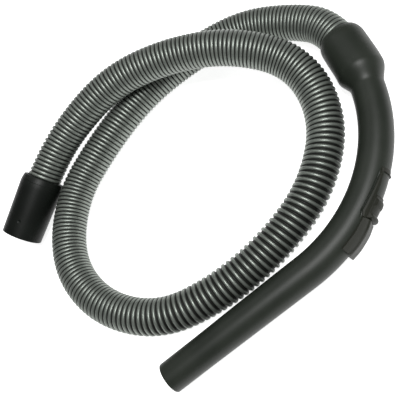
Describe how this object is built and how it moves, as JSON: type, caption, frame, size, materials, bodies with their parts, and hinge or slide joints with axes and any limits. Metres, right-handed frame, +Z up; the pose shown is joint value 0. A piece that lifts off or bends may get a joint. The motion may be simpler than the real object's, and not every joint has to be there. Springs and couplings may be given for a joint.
{
  "type": "vacuum cleaner hose",
  "caption": "Corrugated vacuum hose lying in one loop, with a swivelling bent-end handle that has a sliding suction regulator, and a swivelling machine cuff.",
  "frame": {"origin": "on the floor under the centre of the handle's box, with the handle and hose lying flat", "axes": "+Z up from the floor; +Y roughly along the handle from its wand end to its hose socket; -X towards the hose loop and the cuff"},
  "size_m": [0.4386, 0.4058, 0.0776],
  "materials": {
    "handle_plastic": "satin charcoal moulded plastic",
    "regulator_plastic": "fine grained charcoal plastic",
    "hose_plastic": "silver grey corrugated plastic with a metallic gloss",
    "cuff_plastic": "black moulded plastic, satin",
    "sleeve_plastic": "dark grey moulded plastic",
    "slip_plastic": "white low-friction plastic",
    "seal_rubber": "soft black rubber",
    "spring_steel": "bright spring steel"
  },
  "bodies": {
    "handle": {"handle_tube": "handle_plastic", "socket_ring": "handle_plastic", "regulator_track": "regulator_plastic"},
    "slider": {"regulator_slider": "regulator_plastic", "regulator_pad": "seal_rubber", "regulator_spring": "spring_steel"},
    "hose_line": {"hose": "hose_plastic", "handle_sleeve": "sleeve_plastic", "handle_washer": "slip_plastic", "handle_seal": "seal_rubber", "cuff_sleeve": "sleeve_plastic", "cuff_washer": "slip_plastic", "cuff_seal": "seal_rubber"},
    "cuff": {"cuff_shell": "cuff_plastic", "cuff_ring": "cuff_plastic", "cuff_gasket": "seal_rubber"}
  },
  "joints": [
    {"name": "handle_swivel", "type": "hinge", "parent": "handle", "child": "hose_line", "pos_m": [0.0782, 0.1659, 0.02609], "axis": [0.3838, -0.922, -0.0509], "continuous": true},
    {"name": "cuff_swivel", "type": "hinge", "parent": "hose_line", "child": "cuff", "pos_m": [-0.266, 0.0605, 0.0362], "axis": [-0.4645, -0.868, -0.1758], "continuous": true},
    {"name": "regulator_slide", "type": "hinge", "parent": "handle", "child": "slider", "pos_m": [-0.06822, 0.07138, 0.02522], "axis": [0.0234, -0.0454, 0.9987], "range_deg": [0, 5.34]}
  ]
}
